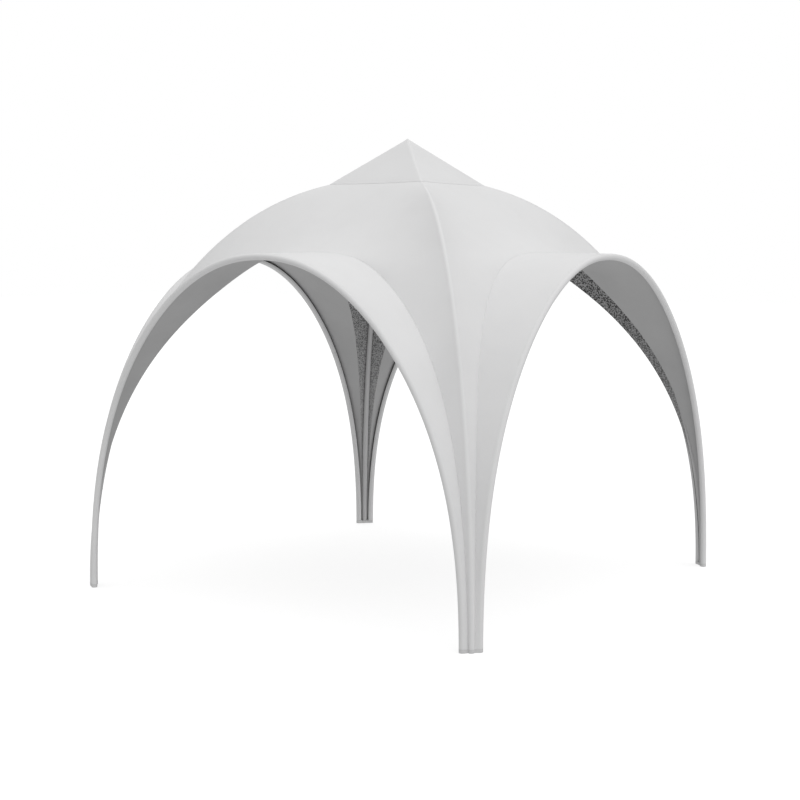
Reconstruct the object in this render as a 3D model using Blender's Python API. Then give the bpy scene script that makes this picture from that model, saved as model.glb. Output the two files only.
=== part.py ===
"""Square dome tent: four arched ribs crossing at a crown hub, four rim hoops, tensioned
roof panels and visors between them, and a small raised pyramid cap. Metres, +Z up."""

import math

import bpy
import numpy as np

# Driving dimensions, metres.
POLE_RADIUS = 0.018
POLE_SIDES = 10
RIDGE_FOOT_RADIUS = 2.1458   # outermost line of a rib from the centre, at the floor
RIDGE_TOP = 2.735            # where the four rib lines would cross
RIDGE_SKIN = 0.0197          # from the outermost line of a rib to its axis
RIM_OUT = 1.531              # plane of each rim hoop, from the centre
RIM_FOOT = 1.462             # half span of a rim hoop at the floor
RIM_TOP = 2.1835             # crown of a rim hoop, axis
CREASE_CROWN_OUT = 1.05      # where the visor leaves the roof, from the centre
CREASE_CROWN_TOP = 2.211
FABRIC = 0.002
GAP = 0.0003
CAP_CORNER = 0.530           # half diagonal of the cap base
CAP_PEAK = 2.975
ROOF_TOP_EDGE = 0.505        # half diagonal where the roof panels end, under the cap
HUB_RADIUS = 0.075
HUB_HEIGHT = 0.056
POST_RADIUS = 0.012
SHOE_HEIGHT = 0.022
SHOE_CLEAR = 0.0003
LEG_PITCH = 0.0489           # sideways distance from a rib to the rim pole beside it
HALF = math.sqrt(0.5)

LEGS = {"se": 0, "ne": 1, "nw": 2, "sw": 3}
SIDES = {"s": 0, "e": 1, "n": 2, "w": 3}

CANVAS = ("canvas_white", (0.82, 0.82, 0.82, 1.0), 0.0, 0.8)
TUBE = ("pole_alloy", (0.72, 0.73, 0.74, 1.0), 1.0, 0.35)
MOULDED = ("moulded_nylon", (0.62, 0.62, 0.63, 1.0), 0.0, 0.5)


def clear_scene():
    for obj in list(bpy.data.objects):
        bpy.data.objects.remove(obj, do_unlink=True)


def material(spec, name):
    label, colour, metallic, roughness = spec
    made = bpy.data.materials.new(f"{label}_{name}")
    made.use_nodes = True
    shader = made.node_tree.nodes["Principled BSDF"]
    shader.inputs["Base Color"].default_value = colour
    shader.inputs["Metallic"].default_value = metallic
    shader.inputs["Roughness"].default_value = roughness
    return made


def solid(name, points, faces, spec, smooth=True):
    mesh = bpy.data.meshes.new(name)
    mesh.from_pydata([tuple(map(float, p)) for p in points], [], [tuple(f) for f in faces])
    mesh.validate()
    mesh.polygons.foreach_set("use_smooth", [smooth] * len(mesh.polygons))
    obj = bpy.data.objects.new(name, mesh)
    bpy.context.scene.collection.objects.link(obj)
    obj.data.materials.append(material(spec, name))
    return obj


def unit(v):
    return v / np.linalg.norm(v, axis=-1, keepdims=True)


def turned(points, quarter):
    out = np.array(points, float)
    for _ in range(quarter):
        out = np.stack([-out[..., 1], out[..., 0], out[..., 2]], axis=-1)
    return out


def bezier(controls, t):
    controls = np.array(controls, float)
    degree = len(controls) - 1
    total = np.zeros((len(t), controls.shape[1]))
    for i, point in enumerate(controls):
        weight = math.comb(degree, i) * t**i * (1 - t) ** (degree - i)
        total += weight[:, None] * point
    return total


def by_length(points, shares):
    """The points at these shares of the length of a dense polyline."""
    steps = np.linalg.norm(np.diff(points, axis=0), axis=1)
    run = np.concatenate([[0.0], np.cumsum(steps)])
    run /= run[-1]
    return np.stack([np.interp(shares, run, points[:, k]) for k in range(3)], axis=-1)


def at_height(guide, values, heights):
    """The values that go with these heights of a rising polyline."""
    return np.stack([np.interp(heights, guide[:, 2], values[:, k]) for k in range(3)], -1)


# The three lines that shape a side, each from the floor up. The first leg is at +X, -Y,
# the first side faces -Y.
DENSE = np.linspace(0.0, 1.0, 1201)


def ridge_profile():
    """Radius and height of the outermost line of a rib, from the floor to the crossing."""
    return bezier(
        [
            (RIDGE_FOOT_RADIUS, 0.0),
            (RIDGE_FOOT_RADIUS, 1.233),
            (1.689, 2.106),
            (1.118, 2.620),
            (0.621, RIDGE_TOP - 0.047),
            (0.0, RIDGE_TOP),
        ],
        DENSE,
    )


def rib_frame():
    """Axis, outward normal and sideways direction of a rib at each dense station."""
    profile = ridge_profile()
    along = unit(np.gradient(profile, axis=0))
    outward = np.stack([along[:, 1], -along[:, 0]], axis=-1)
    axis = profile - RIDGE_SKIN * outward
    axis[:, 1] -= axis[0, 1]

    def spread(rz):
        return np.stack([rz[:, 0] * HALF, -rz[:, 0] * HALF, rz[:, 1]], axis=-1)

    side = np.tile(np.array([-HALF, -HALF, 0.0]), (len(axis), 1))
    return spread(axis), spread(outward), side


def rim_axis():
    flat = bezier(
        [
            (RIM_FOOT, 0.0),
            (RIM_FOOT, 0.895),
            (1.295, 1.467),
            (0.813, 1.998),
            (0.453, RIM_TOP),
            (0.0, RIM_TOP),
        ],
        DENSE,
    )
    return np.stack([flat[:, 0], np.full(len(flat), -RIM_OUT), flat[:, 1]], axis=-1)


def crease_line():
    return bezier(
        [
            (1.481, -1.5157, 0.0),
            (1.459, -1.5120, 1.700),
            (0.840, -1.050, 1.832),
            (0.430, -0.990, 2.191),
            (0.433, -CREASE_CROWN_OUT, CREASE_CROWN_TOP),
            (0.0, -CREASE_CROWN_OUT, CREASE_CROWN_TOP),
        ],
        DENSE,
    )


# Tubes and plates.


def tube(name, path, spec, quarter, radius=POLE_RADIUS, sides=POLE_SIDES):
    """A closed rod along a path, its rings square to it."""
    along = unit(np.gradient(path, axis=0))
    for end in (0, -1):
        if abs(along[end, 2]) > 0.98:
            along[end] = (0.0, 0.0, math.copysign(1.0, along[end, 2]))
        if abs(along[end, 2]) < 0.30:
            along[end] = unit(along[end] * [1.0, 1.0, 0.0])
    hint = unit(np.cross(along[0], path[len(path) // 2] - path[0]))
    first = unit(np.cross(along, hint))
    second = np.cross(first, along)
    turn = np.arange(sides) * 2 * math.pi / sides
    rings = (
        path[:, None, :]
        + radius * np.cos(turn)[None, :, None] * first[:, None, :]
        + radius * np.sin(turn)[None, :, None] * second[:, None, :]
    )
    count = len(path)
    faces = []
    for i in range(count - 1):
        for k in range(sides):
            low, high, after = i * sides, (i + 1) * sides, (k + 1) % sides
            faces.append((low + k, high + k, high + after, low + after))
    faces.append(tuple(range(sides)))
    faces.append(tuple((count - 1) * sides + k for k in reversed(range(sides))))
    points = turned(rings.reshape(-1, 3), quarter)
    return solid(name, points, facing_out(points, faces), spec)


def facing_out(points, faces):
    """The faces, all turned if the body they close is inside out."""
    volume = 0.0
    for face in faces:
        corners = [np.array(points[i], float) for i in face]
        for b, c in zip(corners[1:], corners[2:]):
            volume += np.dot(corners[0], np.cross(b, c))
    return faces if volume > 0 else [tuple(reversed(face)) for face in faces]


def prism(name, outline, low, high, spec, quarter=0):
    count = len(outline)
    points = [(x, y, low) for x, y in outline] + [(x, y, high) for x, y in outline]
    faces = [tuple(reversed(range(count))), tuple(range(count, 2 * count))]
    for i in range(count):
        after = (i + 1) % count
        faces.append((i, after, count + after, count + i))
    points = turned(np.array(points), quarter)
    return solid(name, points, facing_out(points, faces), spec, smooth=False)


def turned_profile(name, profile, spec, sides=16):
    """A body of revolution about the vertical centre line, from radius and height pairs."""
    points, faces, rings = [], [], []
    corner = 1 / math.cos(math.pi / sides)
    for radius, height in profile:
        if radius < 1e-6:
            rings.append([len(points)])
            points.append((0.0, 0.0, height))
            continue
        rings.append(list(range(len(points), len(points) + sides)))
        for k in range(sides):
            turn = 2 * math.pi * (k + 0.5) / sides
            reach = radius * corner
            points.append((reach * math.cos(turn), reach * math.sin(turn), height))
    for lower, upper in zip(rings, rings[1:]):
        for k in range(sides):
            quad = [lower[k % len(lower)], lower[(k + 1) % len(lower)]]
            quad += [upper[(k + 1) % len(upper)], upper[k % len(upper)]]
            faces.append(tuple(dict.fromkeys(quad)))
    for ring in (rings[0], rings[-1]):
        if len(ring) > 1:
            faces.append(tuple(reversed(ring)) if ring is rings[0] else tuple(ring))
    return solid(name, points, facing_out(points, faces), spec)


# Fabric sheets.


def sheet_normals(grid, crown_row=None):
    """Unit normals of a grid of points, facing away from the ground side."""
    across = np.gradient(grid, axis=1)
    along = np.gradient(grid, axis=0)
    normal = unit(np.cross(along, across))
    if normal[..., 2].sum() < 0:
        normal = -normal
    if crown_row is not None:
        normal[crown_row:, -1, 0] = 0.0
    return unit(normal)


def thick_half(grid, offset, crown_row):
    """Points and faces of half a sheet, open along the middle from the crown row up."""
    rows, cols = grid.shape[:2]
    points = np.concatenate([(grid + offset).reshape(-1, 3), (grid - offset).reshape(-1, 3)])
    under = rows * cols

    def at(j, k, side=0):
        return j * cols + k + side * under

    faces = []
    for j in range(rows - 1):
        for k in range(cols - 1):
            faces.append((at(j, k), at(j, k + 1), at(j + 1, k + 1), at(j + 1, k)))
            faces.append((at(j, k, 1), at(j + 1, k, 1), at(j + 1, k + 1, 1), at(j, k + 1, 1)))
        faces.append((at(j, 0), at(j + 1, 0), at(j + 1, 0, 1), at(j, 0, 1)))
        if j < crown_row:
            k = cols - 1
            faces.append((at(j, k), at(j, k, 1), at(j + 1, k, 1)))
            faces.append((at(j, k), at(j + 1, k, 1), at(j + 1, k)))
    for k in range(cols - 1):
        j = rows - 1
        faces.append((at(0, k), at(0, k, 1), at(0, k + 1, 1)))
        faces.append((at(0, k), at(0, k + 1, 1), at(0, k + 1)))
        if crown_row < rows:
            faces.append((at(j, k), at(j, k + 1), at(j, k + 1, 1), at(j, k, 1)))
    return points, faces


def mirrored_whole(points, faces):
    """The half sheet joined to its mirror image across the middle plane x = 0."""
    other = {}
    joined = [tuple(p) for p in points]
    for i, point in enumerate(points):
        if abs(point[0]) < 1e-7:
            other[i] = i
        else:
            other[i] = len(joined)
            joined.append((-point[0], point[1], point[2]))
    whole = list(faces) + [tuple(other[i] for i in reversed(face)) for face in faces]
    return np.array(joined), whole


def sheet(name, grid, offset, crown_row, quarter):
    points, faces = mirrored_whole(*thick_half(grid, offset, crown_row))
    points = turned(points, quarter)
    return solid(name, points, facing_out(points, faces), CANVAS)


def seated(edge, offset, axis):
    """The edge drawn towards a pole until the nearer side of the cloth lies a gap off it."""
    along = unit(np.gradient(axis, axis=0))

    def distance(points):
        arm = points - axis
        arm = arm - (arm * along).sum(-1, keepdims=True) * along
        return np.linalg.norm(arm, axis=-1, keepdims=True)

    near = np.minimum(distance(edge + offset), distance(edge - offset))
    arm = edge - axis
    arm = arm - (arm * along).sum(-1, keepdims=True) * along
    return edge - unit(arm) * (near - POLE_RADIUS - GAP)


LEG_ROWS = 22     # rows of a panel from the floor to the crown of the crease
CROWN_ROWS = 6    # rows above it
PANEL_COLS = 8
VISOR_COLS = 5


def crease_points():
    shares = np.linspace(0.0, 1.0, LEG_ROWS + 1) ** 0.92
    points = by_length(crease_line(), shares)
    points[0, 2] = SHOE_HEIGHT + 0.004
    points[-1, 0] = 0.0
    return points


def rib_heights():
    """Heights on a rib of the rows of the roof panel beside it."""
    crease = crease_points()
    low = crease[:, 2] * (1 + 0.03 / CREASE_CROWN_TOP * crease[:, 2] / CREASE_CROWN_TOP)
    high = np.linspace(low[-1], roof_top_height(), CROWN_ROWS + 1)[1:]
    return np.concatenate([low, high])


def rib_attach(heights):
    """Where a roof panel meets its rib, creeping from the side of the pole to its top."""
    axis, outward, side = rib_frame()
    climb = axis[:, 2] / axis[:, 2].max()
    lean = np.radians(8 + 40 * np.clip(climb, 0, 1) ** 1.5)[:, None]
    reach = POLE_RADIUS + FABRIC / 2 + GAP
    arm = reach * (np.cos(lean) * side + np.sin(lean) * outward)
    return at_height(axis, axis + arm, heights)


def roof_top_height():
    axis, outward, side = rib_frame()
    radius = np.hypot(axis[:, 0], axis[:, 1])
    return float(np.interp(-ROOF_TOP_EDGE, -radius, axis[:, 2]))


def relaxed(grid, crown_row, rounds=1200):
    """The sheet pulled tight between its held edges, each way by how short its threads are."""
    across = 1 / ((grid[1:-1, 2:] - grid[1:-1, :-2]) ** 2).sum(-1, keepdims=True)
    along = 1 / ((grid[2:, 1:-1] - grid[:-2, 1:-1]) ** 2).sum(-1, keepdims=True)
    free, above, below = slice(crown_row + 1, -1), slice(crown_row + 2, None), slice(crown_row, -2)
    wide = 1 / (4 * (grid[free, -1] - grid[free, -2]) ** 2).sum(-1, keepdims=True)
    tall = 1 / ((grid[above, -1] - grid[below, -1]) ** 2).sum(-1, keepdims=True)
    for _ in range(rounds):
        sideways = grid[1:-1, 2:] + grid[1:-1, :-2]
        upright = grid[2:, 1:-1] + grid[:-2, 1:-1]
        grid[1:-1, 1:-1] = (across * sideways + along * upright) / (2 * (across + along))
        sideways = 2 * grid[free, -2]
        upright = grid[above, -1] + grid[below, -1]
        pull = (wide * sideways + tall * upright) / (2 * (wide + tall))
        grid[free, -1] = pull * [0, 1, 1]
    return grid


def roof_grid():
    crease = crease_points()
    rib = rib_attach(rib_heights())
    middle = np.zeros((CROWN_ROWS, 3))
    share = np.linspace(0, 1, CROWN_ROWS + 1)[1:]
    middle[:, 1] = crease[-1, 1] + share * (rib[-1, 1] - crease[-1, 1])
    middle[:, 2] = crease[-1, 2] + share * (rib[-1, 2] - crease[-1, 2])
    edge = np.concatenate([crease, middle])
    share = np.linspace(0, 1, PANEL_COLS + 1)[None, :, None]
    grid = rib[:, None, :] * (1 - share) + edge[:, None, :] * share
    return relaxed(grid, LEG_ROWS)


def rim_stations():
    """Half a rim hoop, from the floor to its crown."""
    points = by_length(rim_axis(), np.linspace(0.0, 1.0, LEG_ROWS + 1) ** 0.92)
    points[0, 2] = SHOE_HEIGHT + 0.004
    points[-1, 0] = 0.0
    return points


def rim_attach():
    """Where a visor meets its rim hoop, on the upper inner shoulder of the pole."""
    line = rim_stations()
    along = unit(np.gradient(line, axis=0))
    along[0], along[-1] = (0.0, 0.0, 1.0), (-1.0, 0.0, 0.0)
    inboard = np.array([0.0, 1.0, 0.0])
    outward = unit(np.cross(along, inboard))
    outward *= np.where((outward * line).sum(-1, keepdims=True) < 0, -1.0, 1.0)
    rise = (line[:, 2] / RIM_TOP)[:, None]
    lean = np.radians(45 + 15 * rise**2)
    reach = POLE_RADIUS + FABRIC / 2 + GAP
    return line + reach * (np.cos(lean) * inboard + np.sin(lean) * outward)


def visor_grid():
    crease = crease_points()
    rim = rim_attach()
    share = np.linspace(0, 1, VISOR_COLS + 1)[None, :, None]
    return crease[:, None, :] * (1 - share) + rim[:, None, :] * share


def crease_join(roof, visor):
    """Mitred offset shared by the two sheets along the crease, and the way each draws back."""
    normal_roof = sheet_normals(roof, LEG_ROWS)[: LEG_ROWS + 1, -1]
    normal_visor = sheet_normals(visor)[:, 0]
    normal_visor[-1, 0] = 0.0
    normal_roof[-1, 0] = 0.0
    both = unit(unit(normal_roof) + unit(normal_visor))
    spread = np.clip((both * unit(normal_roof)).sum(-1, keepdims=True), 0.55, 1.0)
    along = unit(np.gradient(visor[:, 0], axis=0))
    away = visor[:, 1] - visor[:, 0]
    away = away - (away * both).sum(-1, keepdims=True) * both
    away = unit(away - (away * along).sum(-1, keepdims=True) * along)
    away[-1, 0] = 0.0
    return both * FABRIC / 2 / spread, away * GAP


def roof_panels():
    roof, visor = roof_grid(), visor_grid()
    offset = sheet_normals(roof, LEG_ROWS) * FABRIC / 2
    mitre, away = crease_join(roof, visor)
    offset[: LEG_ROWS + 1, -1] = mitre
    roof[: LEG_ROWS + 1, -1] -= away
    rib = rib_frame()[0]
    roof[:, 0] = seated(roof[:, 0], offset[:, 0], at_height(rib, rib, rib_heights()))
    for side, quarter in SIDES.items():
        sheet(f"roof_panel_{side}", roof, offset, LEG_ROWS, quarter)


def visors():
    roof, visor = roof_grid(), visor_grid()
    normal = sheet_normals(visor)
    normal[-1, :, 0] = 0.0
    offset = unit(normal) * FABRIC / 2
    mitre, away = crease_join(roof, visor)
    offset[:, 0] = mitre
    visor[:, 0] += away
    visor[:, -1] = seated(visor[:, -1], offset[:, -1], rim_stations())
    visor[-1, -1, 0] = 0.0
    grid = np.swapaxes(visor, 0, 1)
    turned_offset = np.swapaxes(offset, 0, 1)
    for side, quarter in SIDES.items():
        points, faces = thick_half(grid, turned_offset, 0)
        points, faces = mirrored_whole(points, faces)
        points = turned(points, quarter)
        solid(f"visor_{side}", points, facing_out(points, faces), CANVAS)


def peak_cap():
    """A flat-faced pyramid of fabric, open below, its corners resting on the ribs."""
    axis, outward, side = rib_frame()
    top_line = axis + POLE_RADIUS * outward
    radius = np.hypot(top_line[:, 0], top_line[:, 1])
    run = CAP_CORNER * HALF
    base = float(np.interp(-CAP_CORNER, -radius, top_line[:, 2]))
    slope = math.atan2(CAP_PEAK - base, run)
    inner_corner = CAP_CORNER - FABRIC / math.sin(slope) / HALF
    base = float(np.interp(-inner_corner, -radius, top_line[:, 2])) + GAP
    drop = FABRIC / math.cos(slope)
    draw = FABRIC / math.sin(slope)
    points, faces = [], []
    for level, reach in ((base, run), (base, run - draw)):
        for quarter in range(4):
            points.append(turned([reach, -reach, level], quarter))
    points.append(np.array([0.0, 0.0, CAP_PEAK]))
    points.append(np.array([0.0, 0.0, CAP_PEAK - drop]))
    for k in range(4):
        after = (k + 1) % 4
        faces.append((k, after, 8))
        faces.append((4 + after, 4 + k, 9))
        faces.append((after, k, 4 + k, 4 + after))
    solid("peak_cap", points, facing_out(points, faces), CANVAS, smooth=False)
    return CAP_PEAK - drop


def crown_hub():
    axis, outward, side = rib_frame()
    middle = float(axis[-1, 2])
    low, high = middle - HUB_HEIGHT / 2 - 0.004, middle + HUB_HEIGHT / 2 - 0.004
    turned_profile(
        "crown_hub",
        [
            (HUB_RADIUS - 0.012, low),
            (HUB_RADIUS, low + 0.008),
            (HUB_RADIUS, high - 0.006),
            (HUB_RADIUS - 0.010, high),
        ],
        MOULDED,
    )
    return high


def peak_post(hub_top, cap_under):
    tip = cap_under - 0.0006
    shoulder = tip - POST_RADIUS * 1.1
    turned_profile(
        "peak_post",
        [
            (0.030, hub_top + GAP),
            (0.030, hub_top + 0.006),
            (POST_RADIUS, hub_top + 0.010),
            (POST_RADIUS, shoulder),
            (0.0, tip),
        ],
        TUBE,
        sides=12,
    )


def ribs():
    axis, outward, side = rib_frame()
    radius = np.hypot(axis[:, 0], axis[:, 1])
    keep = (axis[:, 2] > SHOE_HEIGHT + SHOE_CLEAR) & (radius > HUB_RADIUS + GAP)
    axis = axis[keep]
    floor = [SHOE_HEIGHT + SHOE_CLEAR]
    path = at_height(axis, axis, np.concatenate([floor, rib_heights()]))
    reach = math.hypot(path[-1, 0], path[-1, 1])
    beyond = axis[np.hypot(axis[:, 0], axis[:, 1]) < reach - 0.05]
    path = np.concatenate([path, by_length(beyond, np.linspace(0, 1, 4))])
    for leg, quarter in LEGS.items():
        tube(f"rib_{leg}", path, TUBE, quarter)


def rim_hoops():
    half = rim_stations()
    foot = half[0] * [1, 1, 0] + [0, 0, SHOE_HEIGHT + SHOE_CLEAR]
    half = np.concatenate([[foot], half])
    path = np.concatenate([half, (half * [-1, 1, 1])[::-1][1:]])
    for side, quarter in SIDES.items():
        tube(f"rim_hoop_{side}", path, TUBE, quarter)


def foot_shoes():
    """One moulded shoe under the three poles of each leg, waisted between them."""
    rib_radius = RIDGE_FOOT_RADIUS - RIDGE_SKIN
    rim_radius = (RIM_OUT + RIM_FOOT) * HALF
    outer, inner, ends = [], [], []
    for s in np.linspace(-LEG_PITCH, LEG_PITCH, 13):
        middle = rim_radius + (rib_radius - rim_radius) * math.cos(s / LEG_PITCH * math.pi / 2)
        half_width = 0.0140 + 0.0045 * math.cos(2 * math.pi * s / LEG_PITCH)
        outer.append((middle + half_width, s))
        inner.append((middle - half_width, s))
    for turn in np.linspace(0, math.pi, 7)[1:-1]:
        ends.append((0.0185 * math.cos(turn), 0.0185 * math.sin(turn)))
    far = [(rim_radius + x, LEG_PITCH + y) for x, y in ends]
    near = [(rim_radius - x, -LEG_PITCH - y) for x, y in ends]
    loop = outer + far + inner[::-1] + near
    outline = [((r + s) * HALF, (-r + s) * HALF) for r, s in loop]
    for leg, quarter in LEGS.items():
        prism(f"foot_shoe_{leg}", outline, 0.0, SHOE_HEIGHT, MOULDED, quarter)


def main():
    clear_scene()
    ribs()
    rim_hoops()
    foot_shoes()
    hub_top = crown_hub()
    cap_under = peak_cap()
    peak_post(hub_top, cap_under)
    roof_panels()
    visors()


main()
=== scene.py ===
"""Looks of the square dome tent: fabric canopy, hems, seams, poles, floor, light and camera."""

import math

import bpy
import numpy as np
from mathutils import Matrix, Vector
from mathutils.bvhtree import BVHTree


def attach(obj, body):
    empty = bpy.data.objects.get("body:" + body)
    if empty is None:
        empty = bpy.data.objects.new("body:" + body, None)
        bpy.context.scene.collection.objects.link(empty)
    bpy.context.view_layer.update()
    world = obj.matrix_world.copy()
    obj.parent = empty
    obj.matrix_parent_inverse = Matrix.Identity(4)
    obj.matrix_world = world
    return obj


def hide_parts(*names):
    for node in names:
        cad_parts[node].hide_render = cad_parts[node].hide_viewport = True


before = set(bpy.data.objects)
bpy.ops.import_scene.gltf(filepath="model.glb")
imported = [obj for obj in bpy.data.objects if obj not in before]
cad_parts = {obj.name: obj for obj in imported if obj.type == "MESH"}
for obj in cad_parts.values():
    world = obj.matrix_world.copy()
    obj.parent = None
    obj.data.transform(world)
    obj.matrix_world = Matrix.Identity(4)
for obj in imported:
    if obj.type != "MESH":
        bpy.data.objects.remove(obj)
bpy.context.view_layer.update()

# Dimensions of the part, metres, the same as in its source.
POLE_RADIUS = 0.018
RIDGE_FOOT_RADIUS = 2.1458
RIDGE_TOP = 2.735
RIDGE_SKIN = 0.0197
RIM_OUT = 1.531
RIM_FOOT = 1.462
RIM_TOP = 2.1835
CREASE_CROWN_OUT = 1.05
CREASE_CROWN_TOP = 2.211
CLOTH_REACH = 0.0193         # from the middle of a pole to the middle of the cloth on it
CAP_CORNER = 0.530
CAP_PEAK = 2.975
ROOF_TOP_EDGE = 0.505
HUB_RADIUS = 0.075
SHOE_HEIGHT = 0.022
HEM_GAP = 0.0006              # between the lowest edge of the cloth and the foot under it
LEG_ROWS = 72
CROWN_ROWS = 22
PANEL_COLS = 16
VISOR_COLS = 12
HALF = math.sqrt(0.5)
DENSE = np.linspace(0.0, 1.0, 2401)
SIDES = {"s": 0, "e": 1, "n": 2, "w": 3}
LEGS = {"se": 0, "ne": 1, "nw": 2, "sw": 3}


# Lines and grids.


def unit(v):
    return v / np.maximum(np.linalg.norm(v, axis=-1, keepdims=True), 1e-12)


def turned(points, quarter):
    out = np.array(points, float)
    for _ in range(quarter):
        out = np.stack([-out[..., 1], out[..., 0], out[..., 2]], axis=-1)
    return out


def bezier(controls, t):
    controls = np.array(controls, float)
    degree = len(controls) - 1
    total = np.zeros((len(t), controls.shape[1]))
    for i, point in enumerate(controls):
        weight = math.comb(degree, i) * t**i * (1 - t) ** (degree - i)
        total += weight[:, None] * point
    return total


def run_of(points):
    steps = np.linalg.norm(np.diff(points, axis=0), axis=1)
    return np.concatenate([[0.0], np.cumsum(steps)])


def by_length(points, shares):
    run = run_of(points)
    return np.stack([np.interp(shares, run / run[-1], points[:, k]) for k in range(3)], -1)


def at_height(guide, values, heights):
    return np.stack([np.interp(heights, guide[:, 2], values[:, k]) for k in range(3)], -1)


def rib_frame():
    """Axis, outward normal and sideways direction of the first rib."""
    profile = bezier(
        [
            (RIDGE_FOOT_RADIUS, 0.0),
            (RIDGE_FOOT_RADIUS, 1.233),
            (1.689, 2.106),
            (1.118, 2.620),
            (0.621, RIDGE_TOP - 0.047),
            (0.0, RIDGE_TOP),
        ],
        DENSE,
    )
    along = unit(np.gradient(profile, axis=0))
    outward = np.stack([along[:, 1], -along[:, 0]], axis=-1)
    axis = profile - RIDGE_SKIN * outward
    axis[:, 1] -= axis[0, 1]

    def spread(rz):
        return np.stack([rz[:, 0] * HALF, -rz[:, 0] * HALF, rz[:, 1]], axis=-1)

    side = np.tile(np.array([-HALF, -HALF, 0.0]), (len(axis), 1))
    return spread(axis), spread(outward), side


RIB_AXIS, RIB_OUTWARD, RIB_SIDE = rib_frame()


def rim_axis():
    flat = bezier(
        [
            (RIM_FOOT, 0.0),
            (RIM_FOOT, 0.895),
            (1.295, 1.467),
            (0.813, 1.998),
            (0.453, RIM_TOP),
            (0.0, RIM_TOP),
        ],
        DENSE,
    )
    return np.stack([flat[:, 0], np.full(len(flat), -RIM_OUT), flat[:, 1]], axis=-1)


def crease_line():
    return bezier(
        [
            (1.4926, -1.5189, 0.0),
            (1.4610, -1.5128, 1.700),
            (0.840, -1.050, 1.832),
            (0.430, -0.990, 2.191),
            (0.433, -CREASE_CROWN_OUT, CREASE_CROWN_TOP),
            (0.0, -CREASE_CROWN_OUT, CREASE_CROWN_TOP),
        ],
        DENSE,
    )


def half_stations(line, rows=LEG_ROWS):
    points = by_length(line, np.linspace(0.0, 1.0, rows + 1) ** 0.92)
    points[0, 2] = SHOE_HEIGHT + HEM_GAP
    points[-1, 0] = 0.0
    return points


CREASE = half_stations(crease_line())
RIM = half_stations(rim_axis())


def roof_top_height():
    radius = np.hypot(RIB_AXIS[:, 0], RIB_AXIS[:, 1])
    return float(np.interp(-ROOF_TOP_EDGE, -radius, RIB_AXIS[:, 2]))


def rib_heights():
    low = CREASE[:, 2] * (1 + 0.03 / CREASE_CROWN_TOP * CREASE[:, 2] / CREASE_CROWN_TOP)
    high = np.linspace(low[-1], roof_top_height(), CROWN_ROWS + 1)[1:]
    return np.concatenate([low, high])


HEIGHTS = rib_heights()


RIB_MIDDLE = at_height(RIB_AXIS, RIB_AXIS, HEIGHTS)
RIB_OUT = unit(at_height(RIB_AXIS, RIB_OUTWARD, HEIGHTS))
RIB_ASIDE = np.array([-HALF, -HALF, 0.0])


def round_pole(middle, aside, out, degrees, reach=CLOTH_REACH):
    """Points at these angles round a pole, 0 at aside and 90 at out."""
    angle = np.radians(degrees)[:, None]
    return middle + reach * (np.cos(angle) * aside + np.sin(angle) * out)


def tangent(middle, aside, out, target):
    """Angle at which cloth coming from the target first lies on the pole, smoothed."""
    arm = target - middle
    a, b = (arm * aside).sum(-1), (arm * out).sum(-1)
    far = np.maximum(np.hypot(a, b), CLOTH_REACH * 1.01)
    angle = np.degrees(np.arctan2(b, a) + np.arccos(CLOTH_REACH / far))
    padded = np.concatenate([angle[:1]] * 2 + [angle] + [angle[-1:]] * 2)
    return np.convolve(padded, np.full(5, 0.2), "valid")


def stretched(grid, crown_row):
    """The sheet pulled tight between its held edges."""
    rows, cols = grid.shape[:2]
    across = 1 / ((grid[1:-1, 2:] - grid[1:-1, :-2]) ** 2).sum(-1)
    along = 1 / ((grid[2:, 1:-1] - grid[:-2, 1:-1]) ** 2).sum(-1)
    count = rows * cols
    index = np.arange(count).reshape(rows, cols)
    matrix = np.eye(count)
    middle = index[1:-1, 1:-1].ravel()
    for near, weight in (
        (index[1:-1, 2:], across),
        (index[1:-1, :-2], across),
        (index[2:, 1:-1], along),
        (index[:-2, 1:-1], along),
    ):
        matrix[middle, near.ravel()] = -(weight / (2 * (across + along))).ravel()
    mirror = matrix.copy()
    for j in range(crown_row + 1, rows - 1):
        wide = 1 / (4 * (grid[j, -1] - grid[j, -2]) ** 2).sum()
        tall = 1 / ((grid[j + 1, -1] - grid[j - 1, -1]) ** 2).sum()
        whole = 2 * (wide + tall)
        mirror[index[j, -1], index[j, -2]] = -2 * wide / whole
        mirror[index[j, -1], index[j + 1, -1]] = -tall / whole
        mirror[index[j, -1], index[j - 1, -1]] = -tall / whole
    held = grid.copy()
    held[1:-1, 1:-1] = 0.0
    out = np.empty_like(grid)
    out[..., 0] = np.linalg.solve(matrix, held[..., 0].ravel()).reshape(rows, cols)
    held[crown_row + 1 : -1, -1] = 0.0
    for k in (1, 2):
        out[..., k] = np.linalg.solve(mirror, held[..., k].ravel()).reshape(rows, cols)
    return out


def roof_grid(lean):
    rib = round_pole(RIB_MIDDLE, RIB_ASIDE, RIB_OUT, lean)
    middle = np.zeros((CROWN_ROWS, 3))
    share = np.linspace(0, 1, CROWN_ROWS + 1)[1:]
    for k in (1, 2):
        middle[:, k] = CREASE[-1, k] + share * (rib[-1, k] - CREASE[-1, k])
    edge = np.concatenate([CREASE, middle])
    share = np.linspace(0, 1, PANEL_COLS + 1)[None, :, None]
    return stretched(rib[:, None, :] * (1 - share) + edge[:, None, :] * share, LEG_ROWS)


def settled_roof():
    """The roof panel and the angle where it leaves the rib, each following the other."""
    lean = 25 + 40 * (HEIGHTS / HEIGHTS[-1]) ** 1.5
    for _ in range(3):
        grid = roof_grid(lean)
        lean = np.clip(tangent(RIB_MIDDLE, RIB_ASIDE, RIB_OUT, grid[:, 2]), 5.0, 85.0)
    return roof_grid(lean), lean


ROOF, RIB_LEAN = settled_roof()


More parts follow.
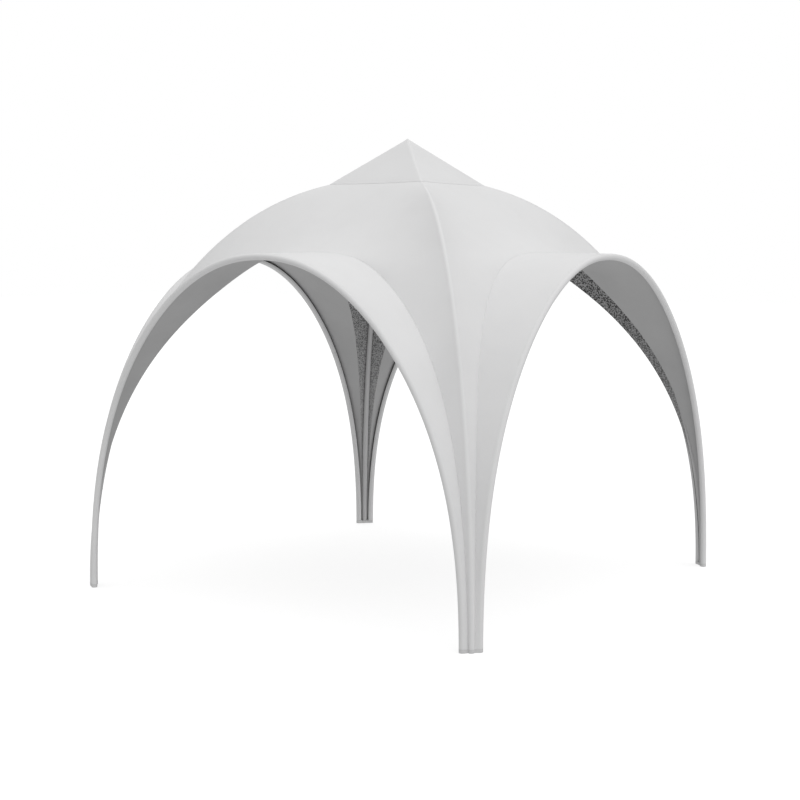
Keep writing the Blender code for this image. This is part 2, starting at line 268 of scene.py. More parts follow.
def rim_frame():
    """Inboard and outward directions at the stations of half a rim hoop."""
    along = unit(np.gradient(RIM, axis=0))
    along[0], along[-1] = (0.0, 0.0, 1.0), (-1.0, 0.0, 0.0)
    inboard = np.array([0.0, 1.0, 0.0])
    outward = unit(np.cross(along, inboard))
    outward *= np.where((outward * RIM).sum(-1, keepdims=True) < 0, -1.0, 1.0)
    return inboard, outward


RIM_INBOARD, RIM_OUTWARD = rim_frame()
RIM_LEAN = np.clip(tangent(RIM, RIM_INBOARD, RIM_OUTWARD, CREASE), 60.0, 125.0)


# Meshes.


def add_object(name, points, faces, materials, smooth=True, uv=None):
    mesh = bpy.data.meshes.new(name)
    mesh.from_pydata(np.asarray(points, float).tolist(), [], [list(map(int, f)) for f in faces])
    mesh.validate()
    mesh.polygons.foreach_set("use_smooth", [smooth] * len(mesh.polygons))
    if uv is not None:
        layer = mesh.uv_layers.new(name="cut")
        corner = np.empty(len(mesh.loops), np.int32)
        mesh.loops.foreach_get("vertex_index", corner)
        layer.data.foreach_set("uv", np.asarray(uv, np.float32)[corner].ravel())
    obj = bpy.data.objects.new(name, mesh)
    bpy.context.scene.collection.objects.link(obj)
    for made in materials:
        mesh.materials.append(made)
    return obj


def welded(patches):
    """Grids of (points, uv, whether mirrored, finish of each column) joined into one mesh."""
    seen, points, uvs, faces, owner = {}, [], [], [], []
    for grid, uv, flipped, finish in patches:
        rows, cols = grid.shape[:2]
        index = np.empty((rows, cols), int)
        keys = np.round(grid * 2e5).astype(np.int64)
        for j in range(rows):
            for k in range(cols):
                key = tuple(keys[j, k])
                if key not in seen:
                    seen[key] = len(points)
                    points.append(grid[j, k])
                    uvs.append(uv[j, k])
                index[j, k] = seen[key]
        for j in range(rows - 1):
            for k in range(cols - 1):
                quad = (index[j, k], index[j, k + 1], index[j + 1, k + 1], index[j + 1, k])
                quad = tuple(dict.fromkeys(quad[::-1] if flipped else quad))
                if len(quad) > 2:
                    faces.append(quad)
                    owner.append(finish[k])
    return np.array(points), np.array(uvs), faces, owner


def facing_sum(points, faces, outside):
    """Above 0 where the faces look the way that outside gives for a place."""
    total = 0.0
    for face in faces[:: max(1, len(faces) // 400)]:
        a, b, c = (points[i] for i in face[:3])
        total += float(np.dot(np.cross(b - a, c - a), outside((a + b + c) / 3)))
    return total


def facing(points, faces, outside):
    turn = facing_sum(points, faces, outside) < 0
    return [tuple(reversed(f)) for f in faces] if turn else faces


def cut_uv(grid):
    """Arc length along the rows and across them, in metres, as the cloth was cut."""
    across = np.zeros(grid.shape[:2])
    across[:, 1:] = np.cumsum(np.linalg.norm(np.diff(grid, axis=1), axis=-1), axis=1)
    along = np.zeros(grid.shape[:2])
    along[1:] = np.cumsum(np.linalg.norm(np.diff(grid, axis=0), axis=-1), axis=0)
    return np.stack([across, along], axis=-1)


def mirrored(grid):
    return grid * np.array([-1.0, 1.0, 1.0])


def thicken(obj, thickness, offset=0.0):
    solidify = obj.modifiers.new("thickness", "SOLIDIFY")
    solidify.thickness = thickness
    solidify.offset = offset
    solidify.use_even_offset = False
    return obj


def crisp(obj, degrees=40):
    """The modifiers applied, and the edges that turn more than this drawn sharp."""
    made = bpy.data.meshes.new_from_object(obj.evaluated_get(bpy.context.evaluated_depsgraph_get()))
    obj.modifiers.clear()
    obj.data = made
    made.set_sharp_from_angle(angle=math.radians(degrees))
    return obj


# Materials.


class Nodes:
    """A node tree of a material, built up call by call."""

    def __init__(self, name, **constants):
        self.material = bpy.data.materials.new(name)
        self.material.use_nodes = True
        self.tree = self.material.node_tree
        self.shader = self.tree.nodes["Principled BSDF"]
        for key, value in constants.items():
            self.shader.inputs[key.replace("_", " ")].default_value = value

    def add(self, kind, inputs=None, **settings):
        node = self.tree.nodes.new(kind)
        for key, value in settings.items():
            setattr(node, key, value)
        for key, value in (inputs or {}).items():
            if isinstance(value, bpy.types.NodeSocket):
                self.tree.links.new(value, node.inputs[key])
            else:
                node.inputs[key].default_value = value
        return node

    def link(self, socket, key):
        self.tree.links.new(socket, self.shader.inputs[key])

    def ramp(self, factor, stops):
        node = self.add("ShaderNodeValToRGB", {"Fac": factor})
        band = node.color_ramp.elements
        band[0].position, band[0].color = stops[0][0], (*stops[0][1], 1.0)
        band[1].position, band[1].color = stops[-1][0], (*stops[-1][1], 1.0)
        for place, colour in stops[1:-1]:
            band.new(place).color = (*colour, 1.0)
        return node.outputs["Color"]

    def math(self, operation, a, b=0.0):
        node = self.add("ShaderNodeMath", operation=operation)
        for i, value in enumerate((a, b)):
            if isinstance(value, bpy.types.NodeSocket):
                self.tree.links.new(value, node.inputs[i])
            else:
                node.inputs[i].default_value = value
        return node.outputs[0]


def grey(v):
    return (v, v, v * 1.003)


WEAVE_PITCH = 0.0011
SHADE_SPECK_SCALE = 100.0


def fabric(name, tone, cloudy=1.0, shade_flecks=0.0):
    """Coated polyester: plain weave, faint mottling and slack, a soft sheen, and, where asked for, dark specks of
    painted shade.
    """
    n = Nodes(name, Roughness=0.72, Sheen_Weight=0.12, Sheen_Roughness=0.45)
    n.shader.inputs["Specular IOR Level"].default_value = 0.28
    place = n.add("ShaderNodeTexCoord")
    cut, body = place.outputs["UV"], place.outputs["Object"]
    mottle = n.add("ShaderNodeTexNoise", {"Vector": body, "Scale": 2.3, "Detail": 5.0, "Roughness": 0.6})
    slub = n.add("ShaderNodeTexNoise", {"Vector": body, "Scale": 140.0, "Detail": 3.0, "Roughness": 0.7})
    mix = n.math("ADD", n.math("MULTIPLY", mottle.outputs["Fac"], 0.75), n.math("MULTIPLY", slub.outputs["Fac"], 0.25))
    low, high = tone * (1 - 0.025 * cloudy), tone * (1 + 0.02 * cloudy)
    colour = n.ramp(mix, [(0.30, grey(low)), (0.5, grey(tone)), (0.70, grey(high))])
    # Painted shade: dark specks stand for grainy shade inside the roof, at 0.3 of full strength up to 0.8 m high and
    # at full strength from 1.9 m up.
    if shade_flecks:
        shade_speck = n.add("ShaderNodeTexNoise", {"Vector": body, "Scale": SHADE_SPECK_SCALE, "Detail": 1.0})
        dark = n.ramp(shade_speck.outputs["Fac"], [(0.43, grey(1 - shade_flecks)), (0.57, grey(1.0))])
        height = n.add("ShaderNodeSeparateXYZ", {"Vector": body}).outputs["Z"]
        span = {"Value": height, "From Min": 0.8, "From Max": 1.9, "To Min": 0.3, "To Max": 1.0}
        share = n.add("ShaderNodeMapRange", span).outputs["Result"]
        both = n.add("ShaderNodeMix", {0: share, 6: colour, 7: dark}, data_type="RGBA", blend_type="MULTIPLY")
        colour = both.outputs[2]
    n.link(colour, "Base Color")
    scale = 2 * math.pi / (20 * WEAVE_PITCH)
    warp = n.add("ShaderNodeTexWave", {"Vector": cut, "Scale": scale, "Distortion": 0.6, "Detail": 1.0}, bands_direction="X")
    weft = n.add("ShaderNodeTexWave", {"Vector": cut, "Scale": scale, "Distortion": 0.6, "Detail": 1.0}, bands_direction="Y")
    weave = n.math("MAXIMUM", warp.outputs["Fac"], weft.outputs["Fac"])
    fine = n.add("ShaderNodeBump", {"Strength": 0.12, "Distance": 0.0002, "Height": weave})
    slack = n.add("ShaderNodeTexNoise", {"Vector": body, "Scale": 3.1, "Detail": 2.0, "Roughness": 0.45})
    soft = n.add("ShaderNodeBump", {"Strength": 0.35, "Distance": 0.012, "Height": slack.outputs["Fac"], "Normal": fine.outputs["Normal"]})
    n.link(soft.outputs["Normal"], "Normal")
    return n.material


def alloy(name, tone):
    """Drawn aluminium: fine lengthwise marks and a matt anodised skin."""
    n = Nodes(name, Metallic=1.0, Roughness=0.38)
    place = n.add("ShaderNodeTexCoord")
    fine = n.add("ShaderNodeMapping", {"Vector": place.outputs["Object"], "Scale": (260.0, 260.0, 9.0)})
    marks = n.add("ShaderNodeTexNoise", {"Vector": fine.outputs["Vector"], "Scale": 1.0, "Detail": 4.0, "Roughness": 0.6})
    n.link(n.ramp(marks.outputs["Fac"], [(0.3, grey(tone * 0.93)), (0.7, grey(tone * 1.04))]), "Base Color")
    rough = n.ramp(marks.outputs["Fac"], [(0.3, (0.34,) * 3), (0.7, (0.46,) * 3)])
    n.link(rough, "Roughness")
    bump = n.add("ShaderNodeBump", {"Strength": 0.08, "Distance": 0.0003, "Height": marks.outputs["Fac"]})
    n.link(bump.outputs["Normal"], "Normal")
    return n.material


def moulding(name, tone):
    """Moulded nylon with a fine spark texture."""
    n = Nodes(name, Roughness=0.5)
    place = n.add("ShaderNodeTexCoord")
    grain = n.add("ShaderNodeTexNoise", {"Vector": place.outputs["Object"], "Scale": 900.0, "Detail": 2.0, "Roughness": 0.5})
    cloud = n.add("ShaderNodeTexNoise", {"Vector": place.outputs["Object"], "Scale": 18.0, "Detail": 3.0, "Roughness": 0.5})
    n.link(n.ramp(cloud.outputs["Fac"], [(0.3, grey(tone * 0.95)), (0.7, grey(tone * 1.03))]), "Base Color")
    bump = n.add("ShaderNodeBump", {"Strength": 0.15, "Distance": 0.0003, "Height": grain.outputs["Fac"]})
    n.link(bump.outputs["Normal"], "Normal")
    return n.material


def thread(name, tone):
    """Twisted polyester thread."""
    n = Nodes(name, Roughness=0.6, Sheen_Weight=0.2)
    place = n.add("ShaderNodeTexCoord")
    twist = n.add("ShaderNodeTexNoise", {"Vector": place.outputs["Object"], "Scale": 1200.0, "Detail": 1.0})
    n.link(n.ramp(twist.outputs["Fac"], [(0.3, grey(tone * 0.9)), (0.7, grey(tone * 1.04))]), "Base Color")
    bump = n.add("ShaderNodeBump", {"Strength": 0.3, "Distance": 0.0003, "Height": twist.outputs["Fac"]})
    n.link(bump.outputs["Normal"], "Normal")
    return n.material


CLOTH_TONE = 0.74
CLOTH = fabric("canopy_cloth", CLOTH_TONE)
# Painted shade: the roof's inside face is the same cloth at a darker tone, with dark specks, for the shade under the
# roof.
ROOF_INSIDE_SHADE = fabric("roof_inside_painted_shade", 0.45, shade_flecks=0.9)
# Painted shade: the visor's inside face is the same cloth at a darker tone, for the shade under the visors.
VISOR_INSIDE_SHADE = fabric("visor_inside_painted_shade", 0.46, cloudy=3.0)
# Painted shade: the rib pockets inside the roof take a darker tone for the shade they sit in.
POCKET_CLOTH_SHADED = fabric("pocket_cloth_painted_shade", 0.56)
CAP_CLOTH = fabric("cap_cloth", CLOTH_TONE)
POLE_ALLOY = alloy("pole_alloy", 0.78)
NYLON = moulding("moulded_nylon", 0.66)
# Painted shade: near-black cloth laid where the crevices beside the ribs and in the hem sleeves' mouths are in shade.
CREVICE_SHADE = fabric("painted_crevice_shade", 0.05)
THREAD = thread("stitch_thread", 0.78)

CLOTH_THICK = 0.0012


# Canopy: one sheet over the ribs, down to the creases and out round the rim hoops.

RIDGE_COLS = 5
SLEEVE_COLS = 26
SLEEVE_TURN = 328.0
SEAM_WIDE = 0.0115           # the felled seam beside each crease
HEM_WIDE = 0.0170            # the doubled hem beside each hoop
SHADE_BAND_WIDE = 0.012            # painted shade: a dark band on the inside along each rib, where the crevice by the pole lies in shade
POCKET_COLS = 20
SLEEVE_SET = 22.0            # degrees from where the roof leaves a rib to the edge of its pocket
NARROW = 0.060               # cloth narrower than this takes its seams closer together
SHADED_MOUTH_COLS = 4               # last columns of a hem sleeve, dark with the same painted crevice shade
# Material slots of the canopy faces; the last two put the painted crevice shade on the inside only, or on both sides.
OUTSIDE_ROOF, OUTSIDE_VISOR, SHADE_INSIDE, SHADE_BOTH_SIDES = 0, 2, 4, 5


def up_and_out(p):
    return p - np.array([0.0, 0.0, 0.6])


def lined(grid, distances):
    """Columns added beside the last one, at these distances from it, closer on narrow rows."""
    width = np.linalg.norm(np.diff(grid, axis=1), axis=-1)
    starts = np.concatenate([np.zeros((len(grid), 1)), np.cumsum(width, axis=1)], axis=1)
    whole, keep = starts[:, -1], grid.shape[1] - 1
    squeeze = np.minimum(1.0, whole / NARROW)
    room = whole - squeeze * (distances[0] + 0.004)
    reaches = [starts[:, k] / starts[:, keep - 1] * room for k in range(keep)]
    reaches += [whole - squeeze * away for away in distances]
    columns = [along_rows(grid, starts, reach) for reach in reaches]
    return np.stack(columns + [grid[:, -1]], axis=1)


def along_rows(grid, starts, reach):
    out = np.empty((len(grid), 3))
    for j in range(len(grid)):
        for k in range(3):
            out[j, k] = np.interp(reach[j], starts[j], grid[j, :, k])
    return out


def on_axis(grid, row):
    """The crown row of a half sheet put exactly on the middle plane."""
    grid[row, :, 0] = 0.0
    return grid


def half_canopy():
    """Roof half with its rib strip, and visor half with its hem sleeve."""
    strip = [
        round_pole(RIB_MIDDLE, RIB_ASIDE, RIB_OUT, RIB_LEAN + (90 - RIB_LEAN) * share)
        for share in np.linspace(1.0, 0.0, RIDGE_COLS + 1)
    ]
    panel = lined(ROOF[:, ::-1], (SHADE_BAND_WIDE, SHADE_BAND_WIDE / 2))[:, ::-1]
    panel = lined(panel, (SEAM_WIDE, 0.0022, 0.0010))
    panel[LEG_ROWS:, -1, 0] = 0.0
    roof = np.concatenate([np.stack(strip, axis=1), panel[:, 1:]], axis=1)
    rim = round_pole(RIM, RIM_INBOARD, RIM_OUTWARD, RIM_LEAN)
    share = np.linspace(0, 1, VISOR_COLS + 1)[None, :, None]
    visor = CREASE[:, None, :] * (1 - share) + rim[:, None, :] * share
    visor = lined(visor, (HEM_WIDE, 0.0030))
    sleeve = [
        round_pole(RIM, RIM_INBOARD, RIM_OUTWARD, RIM_LEAN + turn)
        for turn in np.linspace(0, SLEEVE_TURN, SLEEVE_COLS + 1)[1:]
    ]
    visor = on_axis(np.concatenate([visor, np.stack(sleeve, axis=1)], axis=1), -1)
    return roof, visor


ROOF_HALF, VISOR_HALF = half_canopy()


def finishes(columns, plain, shaded_cols):
    """Material of the faces after each column: plain, but for the ones given, which take the painted crevice shade."""
    out = [plain] * (columns - 1)
    for k, finish in shaded_cols.items():
        out[k] = finish
    return out


def canopy_sheet():
    shade_inside_cols = {RIDGE_COLS - 1 + k: SHADE_INSIDE for k in range(3)}
    shaded_mouth = {-1 - k: SHADE_BOTH_SIDES for k in range(SHADED_MOUTH_COLS)}
    halves = (
        (ROOF_HALF, 0.0, finishes(ROOF_HALF.shape[1], OUTSIDE_ROOF, shade_inside_cols)),
        (VISOR_HALF, 4.0, finishes(VISOR_HALF.shape[1], OUTSIDE_VISOR, shaded_mouth)),
    )
    patches = []
    for half, up, finish in halves:
        for quarter in range(4):
            for flipped in (False, True):
                grid = turned(mirrored(half) if flipped else half, quarter)
                patches.append((grid, cut_uv(half) + [2.5 * quarter, up], flipped, finish))
    points, uv, faces, finish = welded(patches)
    if facing_sum(points, faces[:2000], up_and_out) < 0:
        faces = [f[::-1] for f in faces]
    # Inner faces take the slot after their outer one: painted shade for the roof and visor insides, and the dark
    # painted crevice shade by the ribs and in the sleeve mouths.
    made = [CLOTH, ROOF_INSIDE_SHADE, CLOTH, VISOR_INSIDE_SHADE, CLOTH, CREVICE_SHADE]
    canopy = add_object("canopy", points, faces, made, uv=uv)
    canopy.data.polygons.foreach_set("material_index", finish)
    thicken(canopy, CLOTH_THICK).modifiers["thickness"].material_offset = 1
    crisp(canopy)
    return canopy, points, faces


canopy, canopy_points, canopy_faces = canopy_sheet()
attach(canopy, "root")
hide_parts(*[f"roof_panel_{s}" for s in SIDES], *[f"visor_{s}" for s in SIDES])

# Cap.


CAP_SIDE_COLS = 20
CAP_BEND_COLS = 5
CAP_CLEAR = 0.0019           # from the middle of the canopy cloth to the middle of the cap's hem
CAP_BLUNT = 0.0015
CAP_LEVELS = [0.0, 0.004, 0.010, *np.linspace(0.03, 0.90, 22), 0.94, 0.97, 0.988, 0.997]
CAP_FOLD = [(0.0250, 0.0060), (0.0100, 0.0040), (0.0010, 0.0022), (-0.0012, 0.0008)]


def cap_outline(half_side, corner):
    """A level square with rounded corners."""
    flat = half_side - corner
    quarter = [(s * flat, -half_side, 0.0) for s in np.linspace(-1, 1, CAP_SIDE_COLS + 1)]
    for s in np.linspace(0, math.pi / 2, CAP_BEND_COLS + 1)[1:-1]:
        quarter.append((flat + corner * math.sin(s), -flat - corner * math.cos(s), 0.0))
    return np.concatenate([turned(quarter, q) for q in range(4)])


def cap_rest():
    """Height of the cap's hem all round, lying on the canopy."""
    tree = BVHTree.FromPolygons([tuple(p) for p in canopy_points], [tuple(f) for f in canopy_faces])
    outline = cap_outline(CAP_CORNER * HALF, 0.010)
    hits = [tree.ray_cast(Vector((x, y, 4.0)), Vector((0, 0, -1)))[0] for x, y, _ in outline]
    return np.array([hit.z for hit in hits]) + CAP_CLEAR


CAP_BASE = cap_rest()


def cap_ring(v):
    """The cap's cloth at this share of the way from its hem to its peak."""
    half_side = CAP_CORNER * HALF * (1 - v)
    points = cap_outline(half_side, min(0.010 + 0.006 * v, half_side * 0.6))
    level = CAP_BASE.max()
    blunt = CAP_BLUNT * max(0.0, (v - 0.93) / 0.07) ** 2
    points[:, 2] = level + (CAP_BASE - level) * (1 - v) ** 3 + (CAP_PEAK - level) * v - blunt
    return points


def cap_canopy():
    """The pyramid, its hem folded up inside."""
    rings = []
    for depth, inset in CAP_FOLD:
        fold = cap_outline(CAP_CORNER * HALF - inset - max(depth, 0.0) * 1.2, 0.010)
        fold[:, 2] = CAP_BASE + depth
        rings.append(fold)
    rings += [cap_ring(v) for v in CAP_LEVELS]
    points = np.concatenate(rings + [np.array([[0.0, 0.0, CAP_PEAK - CAP_BLUNT]])])
    count, top = len(rings[0]), (len(rings) - 1) * len(rings[0])
    faces = []
    for r in range(len(rings) - 1):
        for i in range(count):
            k = (i + 1) % count
            faces.append((r * count + i, r * count + k, (r + 1) * count + k, (r + 1) * count + i))
    faces += [(top + i, top + (i + 1) % count, len(points) - 1) for i in range(count)]
    uv = np.stack([points[:, 0] + points[:, 1] * 0.2, points[:, 2] * 1.3 + points[:, 1]], -1)
    start = len(CAP_FOLD) * count
    turn = facing_sum(points, faces[start:], lambda p: np.array([p[0], p[1], 0.3])) < 0
    faces = [f[::-1] for f in faces] if turn else faces
    made = thicken(add_object("cap_canopy", points, faces, [CAP_CLOTH], uv=uv), CLOTH_THICK)
    return crisp(made), points, faces


cap, cap_points, cap_faces = cap_canopy()
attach(cap, "root"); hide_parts("peak_cap")


# Poles.


def round_tube(name, path, radius, sides, made, first_hint):
    along = unit(np.gradient(path, axis=0))
    first = unit(np.cross(along, first_hint))
    second = np.cross(first, along)
    turn = np.arange(sides) * 2 * math.pi / sides
    rings = path[:, None] + radius * (
        np.cos(turn)[None, :, None] * first[:, None] + np.sin(turn)[None, :, None] * second[:, None]
    )
    count = len(path)
    faces = [tuple(range(sides)), tuple((count - 1) * sides + k for k in reversed(range(sides)))]
    for i in range(count - 1):
        for k in range(sides):
            after = (k + 1) % sides
            faces.append((i * sides + k, (i + 1) * sides + k, (i + 1) * sides + after, i * sides + after))
    return add_object(name, rings.reshape(-1, 3), faces, [made])


for leg, quarter in LEGS.items():
    radius = np.hypot(RIB_AXIS[:, 0], RIB_AXIS[:, 1])
    keep = (RIB_AXIS[:, 2] > SHOE_HEIGHT + 0.0004) & (radius > HUB_RADIUS + 0.0005)
    path = by_length(RIB_AXIS[keep], np.linspace(0, 1, 110))
    pole = round_tube(f"pole_rib_{leg}", turned(path, quarter), POLE_RADIUS, 28, POLE_ALLOY, turned(np.array([HALF, HALF, 0.0]), quarter))
    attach(pole, "root"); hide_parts(f"rib_{leg}")



def rib_sleeve(leg, quarter):
    """The pocket sewn inside the roof that holds a rib, round the inner side of the pole."""
    angles = RIB_LEAN - SLEEVE_SET
    columns = [
        round_pole(RIB_MIDDLE, RIB_ASIDE, RIB_OUT, angles - (180 + 2 * angles) * share)
        for share in np.linspace(0.0, 1.0, POCKET_COLS + 1)
    ]
    grid = turned(np.stack(columns, axis=1), quarter)
    finish = [0] * POCKET_COLS
    points, uv, faces, _ = welded([(grid, cut_uv(grid), False, finish)])
    axis = turned(RIB_MIDDLE, quarter)
    faces = facing(points, faces, lambda p: p - axis[np.argmin(np.abs(axis[:, 2] - p[2]))])
    piece = crisp(thicken(add_object(f"rib_sleeve_{leg}", points, faces, [POCKET_CLOTH_SHADED], uv=uv), CLOTH_THICK))
    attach(piece, "root")


for leg, quarter in LEGS.items():
    rib_sleeve(leg, quarter)

LOOKS = {"rim_hoop": POLE_ALLOY, "crown_hub": NYLON, "peak_post": POLE_ALLOY}
for name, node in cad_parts.items():
    for start, made in LOOKS.items():
        if name.startswith(start):
            for s in node.material_slots:
                s.material = made



def foot_outline():
    """Half the outline of a foot seen from above: the cloth's own, closed straight inside."""
    rib, rim = RIB_MIDDLE[0, :2], RIM[0, :2]
    inward = np.array([-HALF, HALF])
    line = unit(rib - rim)
    inside = np.array([-line[1], line[0]])
    inside *= np.sign(inside @ inward)
    sleeve = VISOR_HALF[0, -SLEEVE_COLS - 1 :, :2]
    last = int(np.argmax(unit(sleeve - rim) @ inside))
    flat = VISOR_HALF[0, 1 : -SLEEVE_COLS - 1, :2]
    closing = [rib + CLOTH_REACH * unit(inside * (1 - t) + inward * t) for t in (0.0, 0.5, 1.0)]
    return np.concatenate([ROOF_HALF[0, :, :2], flat, sleeve[: last + 1], closing])


def outset(loop, distance):
    """A closed outline moved outwards, or inwards where the distance is negative."""
    ahead, behind = np.roll(loop, -1, axis=0) - loop, loop - np.roll(loop, 1, axis=0)
    normal = unit(unit(ahead) + unit(behind))
    normal = np.stack([normal[:, 1], -normal[:, 0]], axis=-1)
    area = np.sum(loop[:, 0] * np.roll(loop[:, 1], -1) - loop[:, 1] * np.roll(loop[:, 0], -1))
    return loop + normal * distance * np.sign(area)


def foot_cup(leg, quarter):
    half = foot_outline()
    other = -half[::-1, ::-1]
    loop = np.concatenate([half, other[1:-1]])
    steps = np.linalg.norm(loop - np.roll(loop, 1, axis=0), axis=1)
    loop = loop[steps > 0.0004]
    skin = CLOTH_THICK / 2 + 0.0001
    rings = []
    for height, inset in ((0.0, 0.0030), (0.0007, 0.0013), (0.0018, 0.0004), (0.0034, 0.0), (SHOE_HEIGHT, 0.0)):
        ring = outset(loop, skin - inset)
        rings.append(np.column_stack([ring, np.full(len(ring), height)]))
    count = len(loop)
    faces = [tuple(reversed(range(count))), tuple(range((len(rings) - 1) * count, len(rings) * count))]
    for r in range(len(rings) - 1):
        for i in range(count):
            k = (i + 1) % count
            faces.append((r * count + i, r * count + k, (r + 1) * count + k, (r + 1) * count + i))
    points = turned(np.concatenate(rings), quarter)
    middle = points.mean(axis=0)
    faces = facing(points, faces, lambda p: p - middle)
    cup = crisp(add_object(f"foot_cup_{leg}", points, faces, [NYLON]))
    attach(cup, "root"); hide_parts(f"foot_shoe_{leg}")


for leg, quarter in LEGS.items():
    foot_cup(leg, quarter)


# Stitching, two rows to a seam.

STITCH_PITCH = 0.009
STITCH_LONG = 0.0062
STITCH_WIDE = 0.0011
STITCH_HIGH = 0.0008
ROWS_APART = (0.0035, 0.0095)
SEWN_FROM = 0.030            # cloth narrower than this carries no separate rows


def beside_edge(grid, distance):
    """A line on the sheet at this distance from its last column, with the sheet's normals."""
    starts = np.concatenate(
        [np.zeros((len(grid), 1)), np.cumsum(np.linalg.norm(np.diff(grid, axis=1), axis=-1), axis=1)], axis=1
    )
    whole = starts[:, -1]
    line = along_rows(grid, starts, whole - distance)
    inner = along_rows(grid, starts, whole - distance - 0.004)
    normal = unit(np.cross(np.gradient(line, axis=0), line - inner))
    normal *= np.where((normal * up_and_out(line)).sum(-1, keepdims=True) < 0, -1.0, 1.0)
    wide = whole > SEWN_FROM
    return line[wide], normal[wide]


def stitches(line, normal):
    """Points of the stitches along a line, ten to a stitch: two tips and two rings of four."""
    run = run_of(line)
    middle = np.arange(STITCH_PITCH, run[-1] - STITCH_PITCH, STITCH_PITCH)
    at = np.stack([np.interp(middle, run, line[:, k]) for k in range(3)], -1)
    out = unit(np.stack([np.interp(middle, run, normal[:, k]) for k in range(3)], -1))
    along = unit(np.stack([np.interp(middle, run, np.gradient(line, axis=0)[:, k]) for k in range(3)], -1))
    aside = np.cross(out, along)
    at = at + out * (CLOTH_THICK / 2 + STITCH_HIGH * 0.2)
    points = [at - along * STITCH_LONG / 2 - out * STITCH_HIGH * 0.4]
    for step in (-0.3, 0.3):
        for wide, high in ((0.5, 0.0), (0.0, 0.5), (-0.5, 0.0), (0.0, -0.5)):
            points.append(at + along * STITCH_LONG * step + aside * STITCH_WIDE * wide + out * STITCH_HIGH * high)
    points.append(at + along * STITCH_LONG / 2 - out * STITCH_HIGH * 0.4)
    return np.stack(points, axis=1)


def stitch_faces(count, reverse):
    faces = []
    for i in range(4):
        k = (i + 1) % 4
        faces += [(0, 1 + k, 1 + i), (1 + i, 1 + k, 5 + k, 5 + i), (5 + i, 5 + k, 9)]
    if reverse:
        faces = [f[::-1] for f in faces]
    return [tuple(v + 10 * n for v in face) for n in range(count) for face in faces]


def sewn(name, seams, copies):
    """One object of all the stitches of these seams, each repeated on the quarters and mirrored."""
    points, faces, start = [], [], 0
    for line, normal in seams:
        made = stitches(line, normal)
        for quarter in range(4):
            for flip in copies:
                placed = turned(mirrored(made) if flip else made, quarter).reshape(-1, 3)
                placed_faces = stitch_faces(len(made), flip)
                faces += [tuple(v + start for v in face) for face in placed_faces]
                points.append(placed)
                start += len(placed)
    piece = add_object(name, np.concatenate(points), faces, [THREAD])
    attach(piece, "root")
    return piece


def cap_seam(v):
    """One side of a level row round the cap."""
    ring, above = cap_ring(v)[: CAP_SIDE_COLS + 1], cap_ring(v + 0.02)[: CAP_SIDE_COLS + 1]
    normal = unit(np.cross(np.gradient(ring, axis=0), above - ring))
    return ring, normal * np.where(normal[:, 2:] < 0, -1.0, 1.0)


ROOF_SHEET = ROOF_HALF[:, RIDGE_COLS:]
VISOR_SHEET = VISOR_HALF[:, :-SLEEVE_COLS]
SEAMS = {
    "stitching_creases": [beside_edge(ROOF_SHEET[: LEG_ROWS + 1], away) for away in ROWS_APART],
    "stitching_rims": [beside_edge(VISOR_SHEET, away) for away in ROWS_APART],
    "stitching_ribs": [beside_edge(ROOF_SHEET[:, ::-1], away) for away in ROWS_APART],
}
THREADS = [sewn(name, seams, (False, True)) for name, seams in SEAMS.items()]
CAP_THREADS = sewn("stitching_cap", [cap_seam(0.015), cap_seam(0.060)], (False,))

# Camera, at the photograph's place.
camera_data = bpy.data.cameras.new("camera")
camera = bpy.data.objects.new("camera", camera_data)
bpy.context.scene.collection.objects.link(camera)
bpy.context.scene.camera = camera
camera_data.sensor_fit = "HORIZONTAL"
camera_data.sensor_width = 36.0
camera_data.lens = 69.147
camera_data.clip_end = 500.0
camera.location = (6.0497, -8.5049, 2.1821)
camera.rotation_euler = Vector((-0.58110, 0.80855, -0.09261)).to_track_quat("-Z", "Y").to_euler()

# Floor, sky and lamps.
bpy.context.scene.view_settings.view_transform = "Standard"
floor = add_object("floor", [(-60, -60, -0.0015), (60, -60, -0.0015), (60, 60, -0.0015), (-60, 60, -0.0015)], [(0, 1, 2, 3)], [])
pale = Nodes("floor_pale", Roughness=0.95)
pale.shader.inputs["Base Color"].default_value = (0.35, 0.35, 0.35, 1.0)
pale.shader.inputs["Emission Color"].default_value = (1.0, 1.0, 1.0, 1.0)
pale.shader.inputs["Emission Strength"].default_value = 0.74
floor.data.materials.append(pale.material)
floor.visible_diffuse = floor.visible_glossy = floor.visible_shadow = False

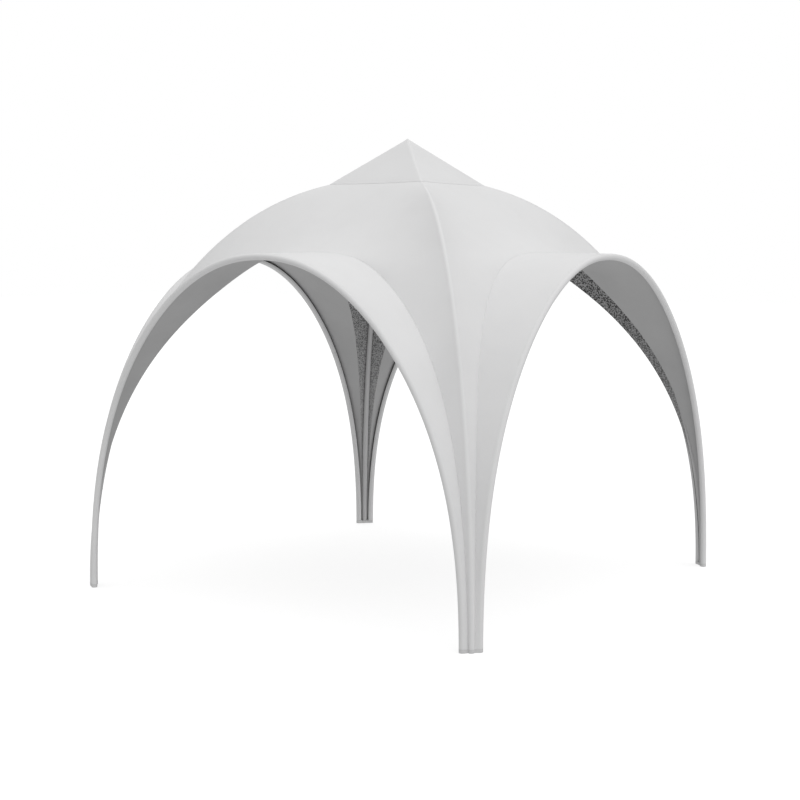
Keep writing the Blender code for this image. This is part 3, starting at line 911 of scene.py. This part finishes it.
# Soft light from all round: direction it comes from, how narrow, how strong.
LOBES = [
    ((0.0, 0.0, 1.0), 1.0, 1.08),
    ((0.7, -0.1, 0.7), 4.0, 0.56),
    ((1.0, 0.0, 0.0), 1.0, 0.36),
    ((-1.0, 0.0, 0.0), 1.0, 0.23),
    ((0.0, -1.0, 0.0), 1.0, 0.20),
    ((0.0, 0.0, -1.0), 1.0, 0.66),
]


def studio():
    world = bpy.data.worlds.new("studio")
    bpy.context.scene.world = world
    world.use_nodes = True
    tree = world.node_tree
    back = tree.nodes["Background"]
    place = tree.nodes.new("ShaderNodeTexCoord")
    total = None
    for direction, power, weight in LOBES:
        dot = tree.nodes.new("ShaderNodeVectorMath")
        dot.operation = "DOT_PRODUCT"
        tree.links.new(place.outputs["Generated"], dot.inputs[0])
        dot.inputs[1].default_value = Vector(direction).normalized()
        clear = tree.nodes.new("ShaderNodeMath")
        clear.operation = "MAXIMUM"
        tree.links.new(dot.outputs["Value"], clear.inputs[0])
        clear.inputs[1].default_value = 0.0
        narrow = tree.nodes.new("ShaderNodeMath")
        narrow.operation = "POWER"
        tree.links.new(clear.outputs[0], narrow.inputs[0])
        narrow.inputs[1].default_value = power
        sum_up = tree.nodes.new("ShaderNodeMath")
        sum_up.operation = "MULTIPLY_ADD"
        tree.links.new(narrow.outputs[0], sum_up.inputs[0])
        sum_up.inputs[1].default_value = weight
        sum_up.inputs[2].default_value = 0.0
        if total is not None:
            tree.links.new(total, sum_up.inputs[2])
        total = sum_up.outputs[0]
    tree.links.new(total, back.inputs["Strength"])
    clear = tree.nodes.new("ShaderNodeBackground")
    clear.inputs["Strength"].default_value = 1.0
    clear.inputs["Color"].default_value = (1.0, 1.0, 1.0, 1.0)
    back.inputs["Color"].default_value = (1.0, 1.0, 1.0, 1.0)
    sight = tree.nodes.new("ShaderNodeLightPath")
    choice = tree.nodes.new("ShaderNodeMixShader")
    tree.links.new(sight.outputs["Is Camera Ray"], choice.inputs[0])
    tree.links.new(back.outputs[0], choice.inputs[1])
    tree.links.new(clear.outputs[0], choice.inputs[2])
    tree.links.new(choice.outputs[0], tree.nodes["World Output"].inputs["Surface"])


studio()
